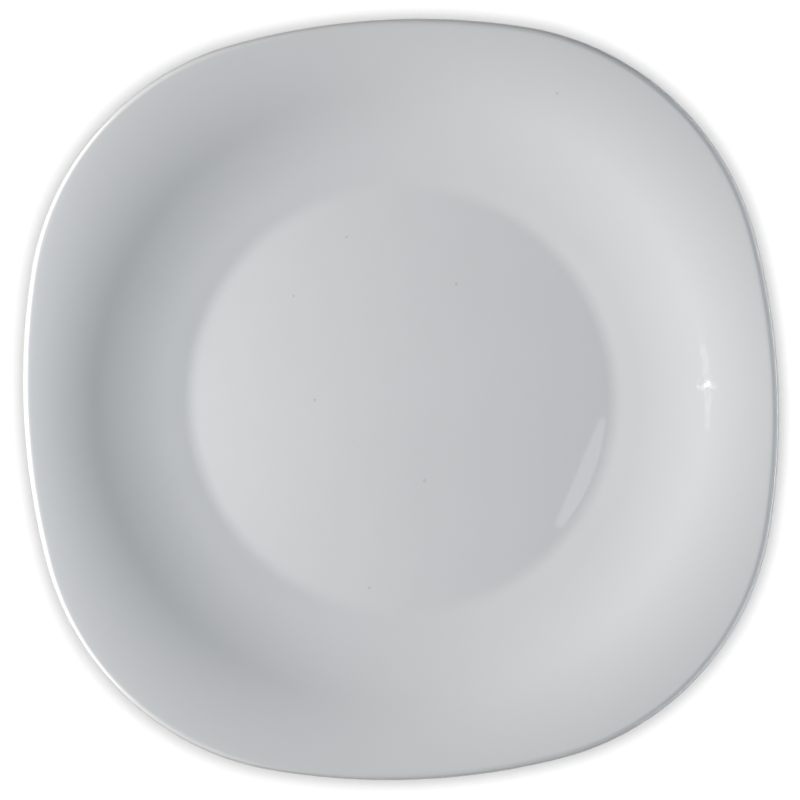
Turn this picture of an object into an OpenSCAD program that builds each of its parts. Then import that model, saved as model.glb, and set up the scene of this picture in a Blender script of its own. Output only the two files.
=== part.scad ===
// Square dinner plate with bulging sides, round corners and a round flat well.
// The dished form is one surface of revolution, trimmed to the square outline,
// so the rim stands a little higher at the corners than along the sides.
// The plate is one piece of fired clay. The glaze is wiped off the foot's rest
// band, which leaves two separate coats: one over the rim, one inside the foot.

/* [Outline, seen from above] */
// Width over the middles of two opposite sides, glaze included
plate_w = 270; // [255:1:300]
// Radius of the bulging sides
side_r = 246; // [215:1:300]
// Radius of the corners
corner_r = 101; // [85:1:115]

/* [Well and wall] */
// Diameter of the well, where its floor meets the flange
well_d = 153; // [140:1:165]
// Radius that turns the floor up into the flange
crease_r = 32; // [20:1:45]
// Thickness of the clay in the floor
floor_t = 4.4; // [3.6:0.1:6]
// Thickness of the clay at the lip
rim_t = 3.8; // [3:0.1:5]

/* [Flange, from the well outwards] */
// Slope beside the well, in degrees
start_slope = 9.4; // [6:0.2:13]
// Width of the straight stretch beside the well
apron_w = 6.4; // [4:0.2:9]
// Width of the hollow stretch, which steepens outwards
scoop_w = 23.9; // [19:0.1:28]
// Slope of the steepest stretch, in degrees
steep_slope = 20; // [17:0.2:24]
// Width of the steepest stretch
steep_w = 1.2; // [0.6:0.2:4]
// Radius of the arched stretch, which flattens towards the rim
brow_r = 142; // [120:1:180]

/* [Foot ring] */
// How far the middle of the foot lies inside the edge of the well
foot_inset = 3.4; // [2.6:0.1:6]
// Depth of the recess inside the foot
foot_h = 2.6; // [2.2:0.1:4]
// Width of the foot at the table, before its edges are eased
foot_w = 3.4; // [2.4:0.1:5]
// Lean of the foot's flanks, in degrees
foot_draft = 25; // [15:1:30]
// Radius between the foot and the underside
foot_fillet = 2; // [1:0.1:2.4]
// Size of the eased edges of the rest band
foot_ease = 0.5; // [0.2:0.1:0.8]

/* [Glaze] */
// Thickness of the glaze
glaze_t = 0.3; // [0.2:0.05:0.5]
// Height above the table up to which the glaze is wiped off the foot
bare_h = 1; // [0.9:0.1:1.3]

/* [Facets] */
// Number of sections around the plate
steps_around = 96; // [48:8:104]

/* [Hidden] */

// Number of strips in each stretch of a section, for the lip in each half of it.
// Those of the bare foot lie between the ends of the two coats.
fillet_steps = 2;
bare_steps = 5;
under_steps = 4;
lip_steps = 3;
top_steps = 7;
crease_steps = 2;

// What is ground off the foot after firing, to make the rest band flat
grind_t = 0.4;

// Outline: the side arcs are centred past the axis, the corner arcs near it
side_back = side_r - plate_w / 2;
corner_out = (sqrt(2 * pow(side_r - corner_r, 2) - pow(side_back, 2)) - side_back) / 2;
side_sweep = atan2(corner_out, corner_out + side_back);
join_angle = atan2(side_r * sin(side_sweep), side_r * cos(side_sweep) - side_back);

// Radii and heights at the changes of the upper face
crease_in = well_d / 2 - crease_r * tan(start_slope / 2);
apron_in = crease_in + crease_r * sin(start_slope);
scoop_in = apron_in + apron_w;
steep_in = scoop_in + scoop_w;
brow_in = steep_in + steep_w;
scoop_r = scoop_w / (sin(steep_slope) - sin(start_slope));
floor_z = foot_h + floor_t;
apron_z = floor_z + crease_r * (1 - cos(start_slope));
scoop_z = apron_z + apron_w * tan(start_slope);
steep_z = scoop_z + scoop_r * (cos(start_slope) - cos(steep_slope));
brow_z = steep_z + steep_w * tan(steep_slope);
lip_r = rim_t / 2;

// Foot: its edges at the table, and the corners that its fillets round
foot_in = well_d / 2 - foot_inset - foot_w / 2;
foot_out = foot_in + foot_w;
under_r = scoop_in + floor_t * sin(start_slope);
under_z = scoop_z - floor_t * cos(start_slope);
root_z = (under_z + (foot_out - under_r) * tan(start_slope))
    / (1 - tan(foot_draft) * tan(start_slope));
in_tangent = foot_fillet / tan((90 + foot_draft) / 2);
out_tangent = foot_fillet / tan((90 + foot_draft + start_slope) / 2);

// Slope of the upper face at a distance from the axis, in degrees
function slope(r) =
    r <= crease_in ? 0
    : r <= apron_in ? asin((r - crease_in) / crease_r)
    : r <= scoop_in ? start_slope
    : r <= steep_in ? asin(sin(start_slope) + (r - scoop_in) / scoop_r)
    : r <= brow_in ? steep_slope
    : asin(sin(steep_slope) - (r - brow_in) / brow_r);

// Height of the upper face of the clay at a distance from the axis
function height(r) =
    r <= crease_in ? floor_z
    : r <= apron_in ? floor_z + crease_r * (1 - cos(slope(r)))
    : r <= scoop_in ? apron_z + (r - apron_in) * tan(start_slope)
    : r <= steep_in ? scoop_z + scoop_r * (cos(start_slope) - cos(slope(r)))
    : r <= brow_in ? steep_z + (r - steep_in) * tan(steep_slope)
    : brow_z + brow_r * (cos(slope(r)) - cos(steep_slope));

function ray(angle) = [cos(angle), sin(angle)];
function turned(v, angle) = v.x * ray(angle) + v.y * ray(angle + 90);
function mix(a, b, share) = a + (b - a) * share;

// Outline at an angle from the middle of a side, within 45 degrees of it
function arc_centre(angle) =
    abs(angle) <= join_angle ? [-side_back, 0] : [corner_out, sign(angle) * corner_out];
function arc_radius(angle) = abs(angle) <= join_angle ? side_r : corner_r;
function reach(angle, centre, radius) =
    let (along = centre * ray(angle))
    along + sqrt(along * along - centre * centre + radius * radius);

// Place and outward direction of the rim's edge, at an angle from the X axis
function edge(angle) =
    let (
        side = round(angle / 90) * 90,
        local = angle - side,
        centre = arc_centre(local),
        radius = arc_radius(local),
        place = reach(local, centre, radius) * ray(local)
    )
    [turned(place, side), turned((place - centre) / radius, side)];

// A section holds places on the clay, each with its outward direction.
// Place and direction in the plane of a ray, from a distance and a height
function on_ray(u, r, z, tilt) =
    [[r * u.x, r * u.y, z], [cos(tilt) * u.x, cos(tilt) * u.y, sin(tilt)]];

// Upper face over a place in plan
function on_top(place) =
    let (r = norm(place), tilt = slope(r))
    on_ray(place / r, r, height(r), 90 + tilt);

// Underside below a place in plan, a wall's thickness away from the upper face
function on_underside(place, wall) =
    let (top = on_top(place))
    [top[0] - wall * top[1], -top[1]];

// Foot ring, from the middle of the recess to the underside of the flange
function foot_places(u) =
    let (
        draft = tan(foot_draft),
        in_r = foot_in - foot_h * draft - in_tangent,
        in_z = foot_h - foot_fillet,
        out_flank_z = root_z - out_tangent * cos(foot_draft),
        out_r = foot_out + out_flank_z * draft + foot_fillet * cos(foot_draft),
        out_z = out_flank_z - foot_fillet * sin(foot_draft),
        toe = foot_ease + grind_t * (1 + draft)
    )
    concat(
        [for (i = [0:fillet_steps])
            let (tilt = mix(270, 180 + foot_draft, i / fillet_steps))
            on_ray(u, in_r - foot_fillet * cos(tilt), in_z - foot_fillet * sin(tilt), tilt)],
        [on_ray(u, foot_in - bare_h * draft, bare_h, 180 + foot_draft)],
        [on_ray(u, foot_in - foot_ease * draft, foot_ease, 180 + foot_draft)],
        [on_ray(u, foot_in + toe, -grind_t, 270)],
        [on_ray(u, foot_out - toe, -grind_t, 270)],
        [on_ray(u, foot_out + foot_ease * draft, foot_ease, -foot_draft)],
        [on_ray(u, foot_out + bare_h * draft, bare_h, -foot_draft)],
        [for (i = [0:fillet_steps])
            let (tilt = mix(-foot_draft, start_slope - 90, i / fillet_steps))
            on_ray(u, out_r - foot_fillet * cos(tilt), out_z - foot_fillet * sin(tilt), tilt)]
    );

// Whole section along one ray: foot, underside, full-round lip, upper face
function section(angle) =
    let (
        u = ray(angle),
        rim = edge(angle),
        out = rim[1],
        lip_axis = rim[0] - (glaze_t + lip_r) * out,
        along = out * lip_axis / norm(lip_axis),
        tilt = atan(tan(slope(norm(lip_axis))) * along),
        brow_edge = lip_axis - lip_r * sin(tilt) * out,
        lip_z = height(norm(brow_edge)) - lip_r * cos(tilt),
        start = scoop_in * u
    )
    concat(
        foot_places(u),
        [for (i = [0:under_steps - 1])
            let (share = i / under_steps)
            on_underside(mix(start, brow_edge, share), mix(floor_t, rim_t, share))],
        [for (i = [-lip_steps:lip_steps])
            let (
                share = i / lip_steps,
                turn = share * (share < 0 ? 90 - tilt : 90),
                away = [cos(turn) * out.x, cos(turn) * out.y, sin(turn)]
            )
            [[lip_axis.x, lip_axis.y, lip_z] + lip_r * away, away]],
        [for (i = [top_steps:-1:0]) on_top(mix(start, brow_edge, i / top_steps))],
        [for (i = [crease_steps:-1:0]) on_top(mix(crease_in, apron_in, i / crease_steps) * u)]
    );

sections = [for (j = [0:steps_around - 1]) section(j * 360 / steps_around)];

// Numbers of the rings where the glaze ends, and of the last ring
base_edge = fillet_steps + 1;
upper_edge = base_edge + bare_steps;
last_ring = len(sections[0]) - 1;

// Points of rings of places, lifted off the clay by a distance
function rings(first, last, lift) =
    [for (i = [first:last]) for (s = sections) s[i][0] + lift * s[i][1]];

// Faces between two rings, and between a ring and a centre point, by first index
function next(j) = (j + 1) % steps_around;
function band(a, b) =
    [for (j = [0:steps_around - 1]) each
        [[a + j, b + j, b + next(j)], [a + j, b + next(j), a + next(j)]]];
function bands(first, count) =
    [for (i = [0:count - 2]) each
        band(first + i * steps_around, first + (i + 1) * steps_around)];
function fan_out(centre, b) = [for (j = [0:steps_around - 1]) [centre, b + j, b + next(j)]];
function fan_in(a, centre) = [for (j = [0:steps_around - 1]) [a + j, centre, a + next(j)]];
function flipped(faces) = [for (f = faces) [f[0], f[2], f[1]]];

// The clay as it leaves the mould, its foot not yet ground flat
module moulded_clay() {
    count = last_ring + 1;
    size = count * steps_around;
    polyhedron(
        points = concat([[0, 0, foot_h]], rings(0, last_ring, 0), [[0, 0, floor_z]]),
        faces = concat(
            fan_out(0, 1),
            bands(1, count),
            fan_in(1 + size - steps_around, 1 + size)
        ),
        convexity = 6
    );
}

// Fired clay of the whole plate: floor, flange, lip and foot ring
module clay_body() {
    color([0.87, 0.86, 0.83])
    difference() {
        moulded_clay();
        translate([0, 0, -foot_h]) cylinder(h = foot_h, r = plate_w / 2, $fn = steps_around);
    }
}

// Glaze over the well, flange, lip and underside, down the outside of the foot
module upper_glaze() {
    count = last_ring - upper_edge + 1;
    size = count * steps_around;
    color([0.78, 0.79, 0.8])
    polyhedron(
        points = concat(
            rings(upper_edge, last_ring, glaze_t), [[0, 0, floor_z + glaze_t]],
            rings(upper_edge, last_ring, 0), [[0, 0, floor_z]]
        ),
        faces = concat(
            band(size + 1, 0),
            bands(0, count),
            fan_in(size - steps_around, size),
            flipped(bands(size + 1, count)),
            flipped(fan_in(2 * size + 1 - steps_around, 2 * size + 1))
        ),
        convexity = 6
    );
}

// Glaze in the recess of the foot, down the inside of the foot
module base_glaze() {
    count = base_edge + 1;
    size = count * steps_around;
    color([0.74, 0.75, 0.77])
    polyhedron(
        points = concat(
            [[0, 0, foot_h - glaze_t]], rings(0, base_edge, glaze_t),
            [[0, 0, foot_h]], rings(0, base_edge, 0)
        ),
        faces = concat(
            fan_out(0, 1),
            bands(1, count),
            band(size + 1 - steps_around, 2 * size + 2 - steps_around),
            flipped(bands(size + 2, count)),
            flipped(fan_out(size + 1, size + 2))
        ),
        convexity = 4
    );
}

clay_body();
upper_glaze();
base_glaze();
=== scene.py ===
"""A square dinner plate of white glazed porcelain, seen from above.

Lengths are in metres. The plate's own sizes are given in millimetres times MM,
as in its construction, and its section is worked out from them in the same way.
At the end of a name, W is a width, D a diameter, R a radius, T a thickness,
H a height, and Z a height above the table.
"""
from math import atan2, cos, pi, radians, sin, sqrt, tan

import bpy
import numpy as np
from mathutils import Euler, Matrix, Vector


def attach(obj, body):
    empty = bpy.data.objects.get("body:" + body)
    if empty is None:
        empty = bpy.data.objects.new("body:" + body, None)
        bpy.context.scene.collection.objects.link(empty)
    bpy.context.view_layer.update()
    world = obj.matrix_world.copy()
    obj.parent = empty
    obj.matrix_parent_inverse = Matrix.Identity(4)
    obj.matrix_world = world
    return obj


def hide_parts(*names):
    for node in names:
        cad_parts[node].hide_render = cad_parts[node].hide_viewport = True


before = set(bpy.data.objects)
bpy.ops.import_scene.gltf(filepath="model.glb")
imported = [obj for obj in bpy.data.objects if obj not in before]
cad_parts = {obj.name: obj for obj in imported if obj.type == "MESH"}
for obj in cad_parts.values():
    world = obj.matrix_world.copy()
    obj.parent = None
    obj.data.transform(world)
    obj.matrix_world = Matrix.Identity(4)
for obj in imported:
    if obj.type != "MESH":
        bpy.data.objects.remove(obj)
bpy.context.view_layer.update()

MM = 0.001

# Outline of the glazed rim, seen from above
PLATE_W = 270 * MM
SIDE_R = 246 * MM
CORNER_R = 101 * MM

# Well and wall
WELL_D = 153 * MM
CREASE_R = 32 * MM
FLOOR_T = 4.4 * MM
RIM_T = 3.8 * MM

# Flange, from the well outwards
START_SLOPE = radians(9.4)
APRON_W = 6.4 * MM
SCOOP_W = 23.9 * MM
STEEP_SLOPE = radians(20)
STEEP_W = 1.2 * MM
BROW_R = 142 * MM

# Foot ring
FOOT_INSET = 3.4 * MM
FOOT_H = 2.6 * MM
FOOT_W = 3.4 * MM
FOOT_DRAFT = radians(25)
FOOT_FILLET = 2 * MM
FOOT_EASE = 0.5 * MM

# Glaze
GLAZE_T = 0.3 * MM
BARE_H = 1 * MM

# Number of sections around, and of strips in each stretch of a section
AROUND = 384
RECESS_STEPS = 8
FILLET_STEPS = 5
UNDER_STEPS = 24
LIP_STEPS = 9
BROW_STEPS = 20
SCOOP_STEPS = 24
CREASE_STEPS = 10
WELL_STEPS = 10

# Edges that bend by more than this stay sharp
SHARP_ANGLE = radians(35)

# Outline: the side arcs are centred past the axis, the corner arcs near it
SIDE_BACK = SIDE_R - PLATE_W / 2
CORNER_OUT = (sqrt(2 * (SIDE_R - CORNER_R) ** 2 - SIDE_BACK ** 2) - SIDE_BACK) / 2
SIDE_SWEEP = atan2(CORNER_OUT, CORNER_OUT + SIDE_BACK)
JOIN_ANGLE = atan2(SIDE_R * sin(SIDE_SWEEP), SIDE_R * cos(SIDE_SWEEP) - SIDE_BACK)

# Radii and heights at the changes of the upper face
CREASE_IN = WELL_D / 2 - CREASE_R * tan(START_SLOPE / 2)
APRON_IN = CREASE_IN + CREASE_R * sin(START_SLOPE)
SCOOP_IN = APRON_IN + APRON_W
STEEP_IN = SCOOP_IN + SCOOP_W
BROW_IN = STEEP_IN + STEEP_W
SCOOP_R = SCOOP_W / (sin(STEEP_SLOPE) - sin(START_SLOPE))
FLOOR_Z = FOOT_H + FLOOR_T
APRON_Z = FLOOR_Z + CREASE_R * (1 - cos(START_SLOPE))
SCOOP_Z = APRON_Z + APRON_W * tan(START_SLOPE)
STEEP_Z = SCOOP_Z + SCOOP_R * (cos(START_SLOPE) - cos(STEEP_SLOPE))
BROW_Z = STEEP_Z + STEEP_W * tan(STEEP_SLOPE)
LIP_R = RIM_T / 2

# Foot: its edges at the table, and the corners that its fillets round
FOOT_IN = WELL_D / 2 - FOOT_INSET - FOOT_W / 2
FOOT_OUT = FOOT_IN + FOOT_W
UNDER_R = SCOOP_IN + FLOOR_T * sin(START_SLOPE)
UNDER_Z = SCOOP_Z - FLOOR_T * cos(START_SLOPE)
ROOT_Z = (UNDER_Z + (FOOT_OUT - UNDER_R) * tan(START_SLOPE)) / (
    1 - tan(FOOT_DRAFT) * tan(START_SLOPE))
IN_TANGENT = FOOT_FILLET / tan((pi / 2 + FOOT_DRAFT) / 2)
OUT_TANGENT = FOOT_FILLET / tan((pi / 2 + FOOT_DRAFT + START_SLOPE) / 2)

# The angles of the sections, and the direction of each one's ray in plan
ANGLES = np.arange(AROUND) * 2 * pi / AROUND
RAYS = np.stack([np.cos(ANGLES), np.sin(ANGLES)], 1)


# The section of the plate

def slope(r):
    """Slope of the clay's upper face, in radians, at distances from the axis."""
    crease = np.arcsin(np.clip((r - CREASE_IN) / CREASE_R, 0, 1))
    scoop = np.arcsin(sin(START_SLOPE) + np.clip(r - SCOOP_IN, 0, SCOOP_W) / SCOOP_R)
    brow = np.arcsin(sin(STEEP_SLOPE) - np.maximum(r - BROW_IN, 0) / BROW_R)
    return np.where(r <= APRON_IN, crease, np.where(r <= STEEP_IN, scoop, brow))


def height(r):
    """Height of the clay's upper face at distances from the axis."""
    tilt = slope(r)
    return np.select(
        [r <= APRON_IN, r <= SCOOP_IN, r <= STEEP_IN, r <= BROW_IN],
        [FLOOR_Z + CREASE_R * (1 - np.cos(tilt)),
         APRON_Z + (r - APRON_IN) * tan(START_SLOPE),
         SCOOP_Z + SCOOP_R * (cos(START_SLOPE) - np.cos(tilt)),
         STEEP_Z + (r - STEEP_IN) * tan(STEEP_SLOPE)],
        BROW_Z + BROW_R * (np.cos(tilt) - cos(STEEP_SLOPE)))


def rim_edge(angle):
    """Place and outward direction of the rim's edge, in plan, at an angle."""
    side = round(angle / (pi / 2)) * pi / 2
    local = angle - side
    if abs(local) <= JOIN_ANGLE:
        centre, radius = Vector((-SIDE_BACK, 0)), SIDE_R
    else:
        centre, radius = Vector((CORNER_OUT, CORNER_OUT if local > 0 else -CORNER_OUT)), CORNER_R
    ray = Vector((cos(local), sin(local)))
    along = centre.dot(ray)
    place = ray * (along + sqrt(along ** 2 - centre.length_squared + radius ** 2))
    outward = (place - centre) / radius
    turn = np.array([[cos(side), -sin(side)], [sin(side), cos(side)]])
    return turn @ place, turn @ outward


EDGE = [rim_edge(angle) for angle in ANGLES]
EDGE_AT = np.array([place for place, outward in EDGE])
EDGE_OUT = np.array([outward for place, outward in EDGE])


def ring(plan, z, out, tilt):
    """A ring of places on the clay, and their directions away from it.

    plan and out are places and directions in plan, one for each section. tilt is
    the direction's angle above the horizon.
    """
    z = np.broadcast_to(z, len(plan))
    tilt = np.broadcast_to(tilt, len(plan))
    away = np.column_stack([out * np.cos(tilt)[:, None], np.sin(tilt)])
    return np.column_stack([plan, z]), away


def round_ring(r, z, tilt):
    return ring(RAYS * r, z, RAYS, tilt)


def on_top(plan):
    r = np.linalg.norm(plan, axis=1)
    return ring(plan, height(r), plan / r[:, None], pi / 2 + slope(r))


def on_underside(plan, wall):
    place, away = on_top(plan)
    return place - wall * away, -away


def shares(steps):
    """Evenly spaced shares from 0 to 1."""
    return np.linspace(0, 1, steps + 1)


def mix(a, b, share):
    return a + (b - a) * share


def recess_rings():
    """Rings of the recess inside the foot, down to where its glaze ends."""
    draft = tan(FOOT_DRAFT)
    fillet_r = FOOT_IN - FOOT_H * draft - IN_TANGENT
    flat = [round_ring(fillet_r * share, FOOT_H, -pi / 2) for share in shares(RECESS_STEPS)[1:-1]]
    fillet = []
    for share in shares(FILLET_STEPS):
        tilt = mix(3 * pi / 2, pi + FOOT_DRAFT, share)
        fillet.append(round_ring(
            fillet_r - FOOT_FILLET * cos(tilt), FOOT_H - FOOT_FILLET - FOOT_FILLET * sin(tilt), tilt))
    return flat + fillet + [round_ring(FOOT_IN - BARE_H * draft, BARE_H, pi + FOOT_DRAFT)]


def bare_rings():
    """Rings across the rest band, between the two ends of the glaze."""
    draft = tan(FOOT_DRAFT)
    return [
        round_ring(FOOT_IN - FOOT_EASE * draft, FOOT_EASE, pi + FOOT_DRAFT),
        round_ring(FOOT_IN + FOOT_EASE, 0, -pi / 2),
        round_ring(FOOT_OUT - FOOT_EASE, 0, -pi / 2),
        round_ring(FOOT_OUT + FOOT_EASE * draft, FOOT_EASE, -FOOT_DRAFT),
    ]


def foot_side_rings():
    """Rings up the outside of the foot and round its fillet."""
    draft = tan(FOOT_DRAFT)
    flank_z = ROOT_Z - OUT_TANGENT * cos(FOOT_DRAFT)
    centre_r = FOOT_OUT + flank_z * draft + FOOT_FILLET * cos(FOOT_DRAFT)
    centre_z = flank_z - FOOT_FILLET * sin(FOOT_DRAFT)
    found = [round_ring(FOOT_OUT + BARE_H * draft, BARE_H, -FOOT_DRAFT)]
    for share in shares(FILLET_STEPS):
        tilt = mix(-FOOT_DRAFT, START_SLOPE - pi / 2, share)
        found.append(round_ring(
            centre_r - FOOT_FILLET * cos(tilt), centre_z - FOOT_FILLET * sin(tilt), tilt))
    return found


def flange_rings():
    """Rings of the underside, the lip and the upper face, in to the well's floor."""
    axis = EDGE_AT - (GLAZE_T + LIP_R) * EDGE_OUT
    axis_r = np.linalg.norm(axis, axis=1)
    along = np.sum(EDGE_OUT * axis, axis=1) / axis_r
    tilt = np.arctan(np.tan(slope(axis_r)) * along)
    brow_edge = axis - (LIP_R * np.sin(tilt))[:, None] * EDGE_OUT
    axis_z = height(np.linalg.norm(brow_edge, axis=1)) - LIP_R * np.cos(tilt)
    found = [
        on_underside(mix(SCOOP_IN * RAYS, brow_edge, share), mix(FLOOR_T, RIM_T, share))
        for share in shares(UNDER_STEPS)[:-1]]
    for share in np.linspace(-1, 1, 2 * LIP_STEPS + 1):
        turn = share * (pi / 2 - tilt) if share < 0 else np.full_like(tilt, share * pi / 2)
        place, away = ring(axis, axis_z, EDGE_OUT, turn)
        found.append((place + LIP_R * away, away))
    found += [on_top(mix(BROW_IN * RAYS, brow_edge, share)) for share in shares(BROW_STEPS)[::-1]]
    found += [on_top(mix(SCOOP_IN, STEEP_IN, share) * RAYS) for share in shares(SCOOP_STEPS)[::-1]]
    found += [on_top(mix(CREASE_IN, APRON_IN, share) * RAYS) for share in shares(CREASE_STEPS)[::-1]]
    # The outermost ring of the floor lies close to the crease, so that the floor mirrors as flat
    flat_r = CREASE_IN - (APRON_IN - CREASE_IN) / CREASE_STEPS
    found += [on_top(flat_r * share * RAYS) for share in shares(WELL_STEPS)[:0:-1]]
    return found


# Meshes

def lifted(rings, lift):
    return [place + lift * away for place, away in rings]


def closed_form(name, first, rings, last, material, node):
    """A closed form from one point on the axis, over rings of places, to another."""
    points = np.concatenate([[first], *rings, [last]])
    step = np.arange(AROUND)
    after = (step + 1) % AROUND
    starts = [1 + AROUND * i for i in range(len(rings))]
    end = len(points) - 1
    faces = [(0, int(starts[0] + a), int(starts[0] + b)) for a, b in zip(step, after)]
    for low, high in zip(starts, starts[1:]):
        quads = np.stack([low + step, high + step, high + after, low + after], 1)
        faces += [tuple(quad) for quad in quads.tolist()]
    faces += [(int(starts[-1] + a), end, int(starts[-1] + b)) for a, b in zip(step, after)]
    # Faces are listed clockwise seen from outside, so each is turned round
    faces = [face[::-1] for face in faces]
    mesh = bpy.data.meshes.new(name)
    mesh.from_pydata(points.tolist(), [], faces)
    mesh.validate()
    mesh.shade_smooth()
    mesh.set_sharp_from_angle(angle=SHARP_ANGLE)
    mesh.materials.append(material)
    piece = bpy.data.objects.new(name, mesh)
    bpy.context.scene.collection.objects.link(piece)
    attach(piece, "root")
    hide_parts(node)


def make_plate(clay, glaze, base_glaze):
    recess = recess_rings()
    outside = foot_side_rings() + flange_rings()
    recess_z = (0, 0, FOOT_H)
    floor = (0, 0, FLOOR_Z)
    closed_form(
        "fired_clay", recess_z, lifted(recess + bare_rings() + outside, 0), floor,
        clay, "clay_body")
    closed_form(
        "glaze_over_rim", floor, lifted(outside[::-1], 0) + lifted(outside, GLAZE_T),
        (0, 0, FLOOR_Z + GLAZE_T), glaze, "upper_glaze")
    closed_form(
        "glaze_in_foot", (0, 0, FOOT_H - GLAZE_T),
        lifted(recess, GLAZE_T) + lifted(recess[::-1], 0), recess_z,
        base_glaze, "base_glaze")


# Materials

# Spans of a noise's value: its middle, most of it, and its upper part
MID_NOISE = (0.35, 0.65)
MOST_NOISE = (0.3, 0.7)
HIGH_NOISE = (0.5, 0.75)

# Glaze: its tone, and shares of the tone in faint clouds, and in painted shade at the rim and over the
# lip
GLAZE_TONE = (0.585, 0.595, 0.607, 1.0)
BASE_TONE = (0.57, 0.58, 0.592, 1.0)
CLOUD_SHARES = (0.985, 0.985, 0.985)
RIM_SHADE_SHARES = (0.95, 0.95, 0.95)
LIP_SHADE_SHARES = (0.5, 0.49, 0.475)
CLOUD_SIZE = 45 * MM
RIM_SHADE_SPAN = (90 * MM, 135 * MM)
GLAZE_ROUGHNESS = (0.006, 0.016)
HAZE_SIZE = 30 * MM
GLAZE_IOR = 1.5

# How level a face is where it has the lip's whole painted shade, and where it has none of it
LIP_SHADE_SPAN = (0.5, 0.97)

# Specks and pinholes of the glaze, and the share of the cells of their scatter that hold one
SPECK_TONE = (0.30, 0.27, 0.24, 1.0)
SPECK_STRENGTH = 0.3
SPECK_R = 0.8 * MM
SPECK_SPACING = 19 * MM
SPECK_CORE = 0.4
PIT_R = 0.5 * MM
PIT_SPACING = 13 * MM
PIT_DEPTH = 0.05 * MM
GLAZE_SPECKS = 0.4
BASE_SPECKS = 0.6

# Ripples of the glaze, lower in the well than past the outer end of their span
RIPPLE_SIZE = 5 * MM
RIPPLE_DEPTH = 0.02 * MM
RIPPLE_SPAN = (80 * MM, 100 * MM)
WELL_RIPPLE = 0.02

# Bare clay, its grain, and the soil on it
CLAY_TONE = (0.70, 0.67, 0.61, 1.0)
GRAIN_TONE = (0.60, 0.57, 0.51, 1.0)
GRAIN_SIZE = 0.7 * MM
GRAIN_DEPTH = 0.03 * MM
SOIL_TONE = (0.38, 0.36, 0.33, 1.0)
SOIL_SIZE = 14 * MM
SOIL_STRENGTH = 0.45
CLAY_ROUGHNESS = (0.75, 0.95)
CLAY_IOR = 1.45

# Floor: greys of the sheet and its glow, and the glow's strength at the ends of a span of radii
FLOOR_SIZE = 8.0
SHEET_GREYS = (0.029, 0.031)
SHEET_ROUGHNESS = 0.9
SHEET_IOR = 1.3
FIBRE_SIZE = 2 * MM
GLOW_GREYS = (0.98, 1.0)
GLOW_SPAN = (0.2, 1.6)
GLOW_STRENGTHS = (0.2, 0.95)


class Shader:
    """The nodes of a material or a world, added and joined by short calls."""

    def __init__(self, owner):
        self.owner = owner
        owner.use_nodes = True
        self.tree = owner.node_tree
        self.tree.nodes.clear()

    def node(self, kind, inputs=None, **settings):
        made = self.tree.nodes.new("ShaderNode" + kind)
        for key, value in settings.items():
            setattr(made, key, value)
        for key, value in (inputs or {}).items():
            self.feed(made.inputs[key], value)
        return made

    def feed(self, socket, value):
        """Joins an output to a socket, or sets the socket to a plain value."""
        if isinstance(value, bpy.types.NodeSocket):
            self.tree.links.new(value, socket)
        else:
            socket.default_value = value

    def noise(self, place, size, detail=2, roughness=0.5):
        """Noise with features of about a given size."""
        made = self.node("TexNoise", {
            "Vector": place, "Scale": 1 / size, "Detail": detail, "Roughness": roughness})
        return made.outputs["Fac"]

    def radius(self, place):
        """Distance of a place from the plate's axis."""
        plan = self.node("VectorMath", {0: place, 1: (1, 1, 0)}, operation="MULTIPLY").outputs[0]
        return self.node("VectorMath", {0: plan}, operation="LENGTH").outputs["Value"]

    def mapped(self, value, span, to=(0, 1), smooth=False):
        """A value carried over from one span to another, and held at its ends."""
        made = self.node("MapRange", {
            "Value": value, "From Min": span[0], "From Max": span[1],
            "To Min": to[0], "To Max": to[1]})
        made.interpolation_type = "SMOOTHSTEP" if smooth else "LINEAR"
        return made.outputs["Result"]

    def math(self, operation, a, b=0.0):
        return self.node("Math", {0: a, 1: b}, operation=operation).outputs[0]

    def mixed(self, share, a, b):
        """A colour between two others."""
        made = self.node("Mix", data_type="RGBA")
        for key, value in (("Factor_Float", share), ("A_Color", a), ("B_Color", b)):
            self.feed(next(s for s in made.inputs if s.identifier == key), value)
        return next(s for s in made.outputs if s.identifier == "Result_Color")

    def bump(self, height_value, depth, normal=None):
        """A bump whose height runs from 0 to a depth."""
        inputs = {"Height": height_value, "Strength": 1.0, "Distance": depth}
        if normal is not None:
            inputs["Normal"] = normal
        return self.node("Bump", inputs).outputs["Normal"]

    def finish(self, **inputs):
        """Ends a material in one surface with the given inputs, and returns the material."""
        named = {key.replace("_", " "): value for key, value in inputs.items()}
        surface = self.node("BsdfPrincipled", named)
        output = self.node("OutputMaterial", {"Surface": surface.outputs["BSDF"]})
        output.is_active_output = True
        return self.owner


def grey(level):
    return (level, level, level, 1.0)


def scaled(tone, shares):
    """A tone times a share for each of red, green and blue."""
    return (*(level * share for level, share in zip(tone, shares)), 1.0)


def specks(shader, place, radius, spacing, kept):
    """A mask of small round specks, one in a share of the cells of a wide scatter."""
    cells = shader.node("TexVoronoi", {"Vector": place, "Scale": 1 / spacing, "Randomness": 1.0})
    edge = (SPECK_CORE * radius / spacing, radius / spacing)
    near = shader.mapped(cells.outputs["Distance"], edge, (1, 0), smooth=True)
    pick = shader.node("SeparateColor", {"Color": cells.outputs["Color"]})
    chosen = shader.math("LESS_THAN", pick.outputs["Red"], kept)
    return shader.math("MULTIPLY", near, chosen)


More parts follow.
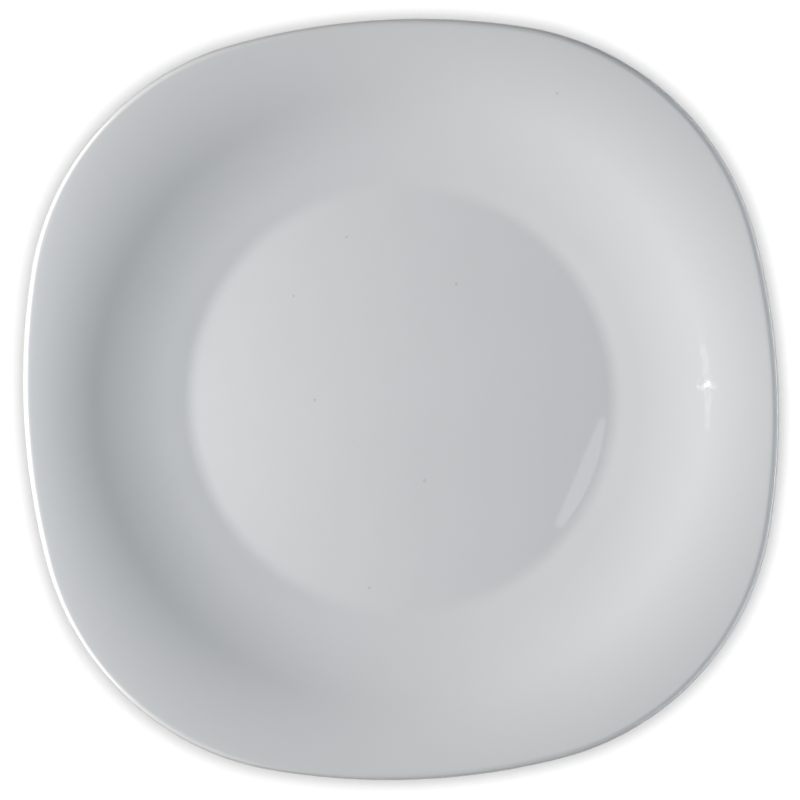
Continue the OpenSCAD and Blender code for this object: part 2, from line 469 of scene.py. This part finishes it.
def glaze_material(name, tone, speck_share):
    """Clear glaze on white porcelain: smooth, glossy, with the odd speck and pinhole, and painted shade
    at the rim and over the lip.
    """
    shader = Shader(bpy.data.materials.new(name))
    coordinates = shader.node("TexCoord")
    place = coordinates.outputs["Object"]
    radius = shader.radius(place)
    facing = shader.node("SeparateXYZ", {"Vector": coordinates.outputs["Normal"]})
    level = shader.math("ABSOLUTE", facing.outputs["Z"])

    # Painted shade: the tone is a little greyer towards the rim, and greyer still over the lip, where
    # its faces lean outwards
    clouds = shader.mapped(shader.noise(place, CLOUD_SIZE, detail=3, roughness=0.55), MID_NOISE)
    tint = shader.mixed(clouds, tone, scaled(tone, CLOUD_SHARES))
    rim_shade = shader.mapped(radius, RIM_SHADE_SPAN)
    tint = shader.mixed(rim_shade, tint, scaled(tone, RIM_SHADE_SHARES))
    lean_shade = shader.mapped(level, LIP_SHADE_SPAN, (1, 0), smooth=True)
    lip_shade = shader.math("MULTIPLY", rim_shade, lean_shade)
    tint = shader.mixed(lip_shade, tint, scaled(tone, LIP_SHADE_SHARES))
    dark = specks(shader, place, SPECK_R, SPECK_SPACING, speck_share)
    tint = shader.mixed(shader.math("MULTIPLY", dark, SPECK_STRENGTH), tint, SPECK_TONE)

    haze = shader.noise(place, HAZE_SIZE)
    # The glaze ripples a little on the flange and lies nearly flat in the well
    rippled = shader.mapped(radius, RIPPLE_SPAN, (WELL_RIPPLE, 1))
    ripples = shader.math("MULTIPLY", shader.noise(place, RIPPLE_SIZE), rippled)
    pits = specks(shader, place, PIT_R, PIT_SPACING, speck_share)
    normal = shader.bump(ripples, RIPPLE_DEPTH)
    normal = shader.bump(shader.math("SUBTRACT", 1.0, pits), PIT_DEPTH, normal)
    return shader.finish(
        Base_Color=tint, Roughness=shader.mapped(haze, MOST_NOISE, GLAZE_ROUGHNESS),
        Normal=normal, IOR=GLAZE_IOR)


def clay_material():
    """Bare fired clay of the ground rest band: matte, fine-grained, a little soiled."""
    shader = Shader(bpy.data.materials.new("bare_fired_clay"))
    place = shader.node("TexCoord").outputs["Object"]
    grain = shader.noise(place, GRAIN_SIZE, detail=3, roughness=0.65)
    patches = shader.noise(place, SOIL_SIZE, detail=4, roughness=0.6)
    soil = shader.mapped(patches, HIGH_NOISE, (0, SOIL_STRENGTH), smooth=True)
    tint = shader.mixed(shader.mapped(grain, MID_NOISE), CLAY_TONE, GRAIN_TONE)
    tint = shader.mixed(soil, tint, SOIL_TONE)
    return shader.finish(
        Base_Color=tint, Roughness=shader.mapped(grain, MOST_NOISE, CLAY_ROUGHNESS),
        Normal=shader.bump(grain, GRAIN_DEPTH), IOR=CLAY_IOR)


def floor_material():
    """Plain dark sheet, made pale by its glow and the floor lamp: the other lamps hardly mark it."""
    shader = Shader(bpy.data.materials.new("pale_floor"))
    place = shader.node("TexCoord").outputs["Object"]
    fibre = shader.noise(place, FIBRE_SIZE)
    sheet = shader.mixed(fibre, *map(grey, SHEET_GREYS))
    glow = shader.mixed(fibre, *map(grey, GLOW_GREYS))
    # So wide a glow is met by bounces alone, which leaves the light samples to the lamps
    shader.owner.cycles.emission_sampling = "NONE"
    return shader.finish(
        Base_Color=sheet, Roughness=SHEET_ROUGHNESS, IOR=SHEET_IOR, Emission_Color=glow,
        Emission_Strength=shader.mapped(shader.radius(place), GLOW_SPAN, GLOW_STRENGTHS))


# Floor, lights and camera

# Colours of the light from the window, the lamps and the room
WARM = (1.0, 0.971, 0.925)
NEUTRAL = (0.98, 1.0, 1.0)
COOL = (0.6, 0.77, 1.0)
PLAIN = (1, 1, 1)
SKY_STRENGTH = 0.29
PALE_WALL = 0.85

# The camera looks down on the plate, a little from the right
CAMERA_AT = (0.174, 0.018, 1.5)
CAMERA_TARGET = (-0.0013, -0.0002, 0.0)
CAMERA_ROLL = radians(-3.05)
CAMERA_LENS = 189.0
SENSOR_W = 36
CLIP_START = 0.01
CLIP_END = 50

FLOOR_LAMP_D = 0.84
FLOOR_LAMP_RADIANCE = 256.0


def direction(azimuth, elevation, distance):
    """A place at angles, in degrees, and a distance from the plate's axis at the table."""
    a, e = radians(azimuth), radians(elevation)
    return (distance * cos(e) * cos(a), distance * cos(e) * sin(a), distance * sin(e))


def below(place):
    """The place on the table straight below another."""
    return (place[0], place[1], 0)


# Places of the other lights
WINDOW_AT = direction(178, 27, 1.46)
NEAR_LAMP_AT = direction(178, 27, 0.24)
LOW_CARD_AT = (0.27, -0.1, 0.016)
RAISED_CARD_AT = (0.185, 0, 0.075)
CORNER_CARD_AT = direction(-47, 8, 0.31)
STRIP_AT = (-0.115, -0.112, 2.5)
SPARK_LAMP_AT = (-0.6952, -0.0116, 0.905)
SPARK_TUBE_AT = (-0.6945, -0.006, 0.9047)
SPARK_RAY_AT = (-0.6764, -0.0085, 0.9217)

# Places that they face
PLATE_MIDDLE = (0, 0, 0)
BY_LOW_CARD = (0, -0.1, 0.016)
LIP_AT = (0.135, 0, 0.018)
INSIDE_CORNER = direction(-47, 0, 0.1)
STEEP_RING_AT = (0.11, 0, 0.0153)


def make_floor():
    half = FLOOR_SIZE / 2
    corners = [(-half, -half, 0), (half, -half, 0), (half, half, 0), (-half, half, 0)]
    mesh = bpy.data.meshes.new("floor")
    mesh.from_pydata(corners, [], [(0, 1, 2, 3)])
    mesh.materials.append(floor_material())
    floor = bpy.data.objects.new("floor", mesh)
    bpy.context.scene.collection.objects.link(floor)
    return floor


def aim(thing, at, target, roll=0.0):
    """Puts a light or camera at a place, facing a target, with the plate's +Y up before the roll."""
    back = (Vector(at) - Vector(target)).normalized()
    right = Vector((0, 1, 0)).cross(back).normalized()
    axes = Matrix((right, back.cross(right), back)).transposed()
    thing.location = at
    thing.rotation_mode = "QUATERNION"
    thing.rotation_quaternion = axes.to_quaternion() @ Euler((0, 0, roll)).to_quaternion()


def panel_light(name, at, target, across, along, radiance, colour=PLAIN, roll=0.0, shape="RECTANGLE"):
    """A flat soft light of a given radiance, with its sizes across and along the plate's Y."""
    light = bpy.data.lights.new(name, "AREA")
    light.shape = shape
    light.size = across
    light.size_y = along
    light.energy = radiance * pi * across * along
    light.color = colour
    lamp = bpy.data.objects.new(name, light)
    bpy.context.scene.collection.objects.link(lamp)
    aim(lamp, at, target, roll)
    lamp.visible_camera = False
    return lamp


def make_lights():
    # A tall window at the left, its width along the plate's side, and a lamp close to the rim
    panel_light("window", WINDOW_AT, PLATE_MIDDLE, across=0.85, along=2.1, radiance=8.85, colour=WARM)
    panel_light(
        "near_lamp", NEAR_LAMP_AT, PLATE_MIDDLE, across=0.12, along=0.12, radiance=3.03,
        colour=NEUTRAL)
    # Low cards past the right side and the lower right corner, which light the lip and the underside
    panel_light(
        "low_card", LOW_CARD_AT, BY_LOW_CARD, across=0.03, along=0.9, radiance=9.0, colour=NEUTRAL)
    panel_light(
        "raised_card", RAISED_CARD_AT, LIP_AT, across=0.03, along=0.5, radiance=0.6, colour=NEUTRAL)
    panel_light(
        "corner_card", CORNER_CARD_AT, INSIDE_CORNER, across=0.05, along=0.2, radiance=2.2,
        colour=NEUTRAL)
    # Its mirror image is the bright sliver at the right edge of the well
    panel_light(
        "distant_strip", STRIP_AT, below(STRIP_AT), across=0.024, along=0.112, radiance=1.6,
        roll=radians(-26))
    # Their mirror images are the sparkle on the steepest ring, the streak through it and its short ray
    panel_light("spark_lamp", SPARK_LAMP_AT, STEEP_RING_AT, across=0.0033, along=0.008, radiance=14.0)
    panel_light("spark_tube", SPARK_TUBE_AT, STEEP_RING_AT, across=0.009, along=0.16, radiance=1.6)
    panel_light("spark_ray", SPARK_RAY_AT, STEEP_RING_AT, across=0.05, along=0.008, radiance=3.0)


def make_floor_light(floor):
    """A round lamp about the camera that lights the floor alone, with a narrow shadow round the rim."""
    lamp = panel_light(
        "floor_lamp", CAMERA_AT, below(CAMERA_AT), across=FLOOR_LAMP_D, along=FLOOR_LAMP_D,
        radiance=FLOOR_LAMP_RADIANCE, shape="ELLIPSE")
    lit = bpy.data.collections.new("lit_by_floor_lamp")
    lit.objects.link(floor)
    lamp.light_linking.receiver_collection = lit


def make_sky():
    """Soft light of the room, strongest straight overhead and none at the horizon.

    The camera itself sees a plain pale wall in its place.
    """
    world = bpy.data.worlds.new("studio")
    shader = Shader(world)
    axes = shader.node("SeparateXYZ", {"Vector": shader.node("TexCoord").outputs["Generated"]})
    rise = shader.mapped(axes.outputs["Z"], (0, 1), (0, sqrt(SKY_STRENGTH)))
    room = shader.node("Background", {
        "Color": (*COOL, 1), "Strength": shader.math("MULTIPLY", rise, rise)})
    wall = shader.node("Background", {"Color": grey(PALE_WALL)})
    to_camera = shader.node("LightPath").outputs["Is Camera Ray"]
    seen = shader.node("MixShader", {0: to_camera, 1: room.outputs[0], 2: wall.outputs[0]})
    shader.node("OutputWorld", {"Surface": seen.outputs[0]})
    bpy.context.scene.world = world


def make_camera():
    camera = bpy.data.cameras.new("camera")
    camera.sensor_width = SENSOR_W
    camera.lens = CAMERA_LENS
    camera.clip_start = CLIP_START
    camera.clip_end = CLIP_END
    eye = bpy.data.objects.new("camera", camera)
    bpy.context.scene.collection.objects.link(eye)
    aim(eye, CAMERA_AT, CAMERA_TARGET, CAMERA_ROLL)
    bpy.context.scene.camera = eye


make_plate(
    clay_material(),
    glaze_material("white_glaze", GLAZE_TONE, GLAZE_SPECKS),
    glaze_material("white_glaze_in_foot", BASE_TONE, BASE_SPECKS))
floor = make_floor()
make_lights()
make_floor_light(floor)
make_sky()
make_camera()
bpy.context.scene.view_settings.view_transform = "Standard"
